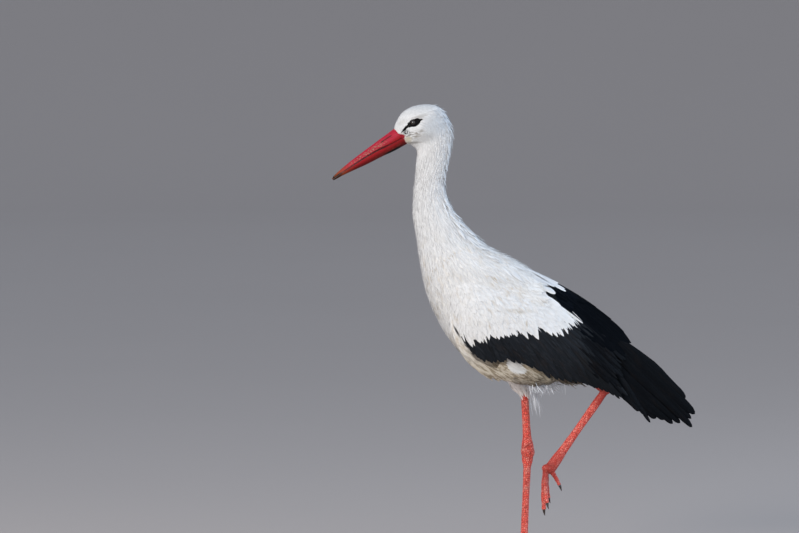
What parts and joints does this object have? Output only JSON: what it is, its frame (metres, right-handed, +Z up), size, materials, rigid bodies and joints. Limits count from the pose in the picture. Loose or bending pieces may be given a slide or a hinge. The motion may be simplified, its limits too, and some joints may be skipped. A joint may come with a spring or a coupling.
{
  "type": "white stork figure",
  "caption": "Life-size white stork in mid-step: red bill tilted down, black folded wings, one red leg standing and the other lifted.",
  "frame": {"origin": "on the floor, on the flat sole of the standing foot, under the joint where its toes meet", "axes": "+Z up through the standing leg, the bill points along -X, +Y is the bird's right side"},
  "size_m": [0.7845, 0.2056, 0.9685],
  "materials": {
    "white_plumage": "matt feathers, cream stains on breast and belly",
    "black_plumage": "satin feathers with a faint blue sheen",
    "bill": "satin horn",
    "leg_skin": "scaly, semi-matt",
    "eye": "wet gloss",
    "claw": "dull horn"
  },
  "bodies": {
    "root": {"head": "white_plumage", "bill_upper": "bill", "bill_lower": "bill", "eye_left": "eye", "eye_right": "eye", "neck_upper": "white_plumage", "neck_lower": "white_plumage", "trunk": "white_plumage", "wing_left_coverts": "white_plumage", "wing_left_secondaries": "black_plumage", "wing_left_tertials": "black_plumage", "wing_left_primaries": "black_plumage", "wing_right_coverts": "white_plumage", "wing_right_secondaries": "black_plumage", "wing_right_tertials": "black_plumage", "wing_right_primaries": "black_plumage", "tail": "white_plumage", "thigh_left": "white_plumage", "shin_left": "leg_skin", "tarsus_left": "leg_skin", "foot_left": "leg_skin", "claw_left_middle": "claw", "claw_left_inner": "claw", "claw_left_outer": "claw", "claw_left_hind": "claw", "thigh_right": "white_plumage", "shin_right": "leg_skin", "tarsus_right": "leg_skin", "foot_right": "leg_skin", "claw_right_middle": "claw", "claw_right_inner": "claw", "claw_right_outer": "claw", "claw_right_hind": "claw"}
  },
  "joints": []
}
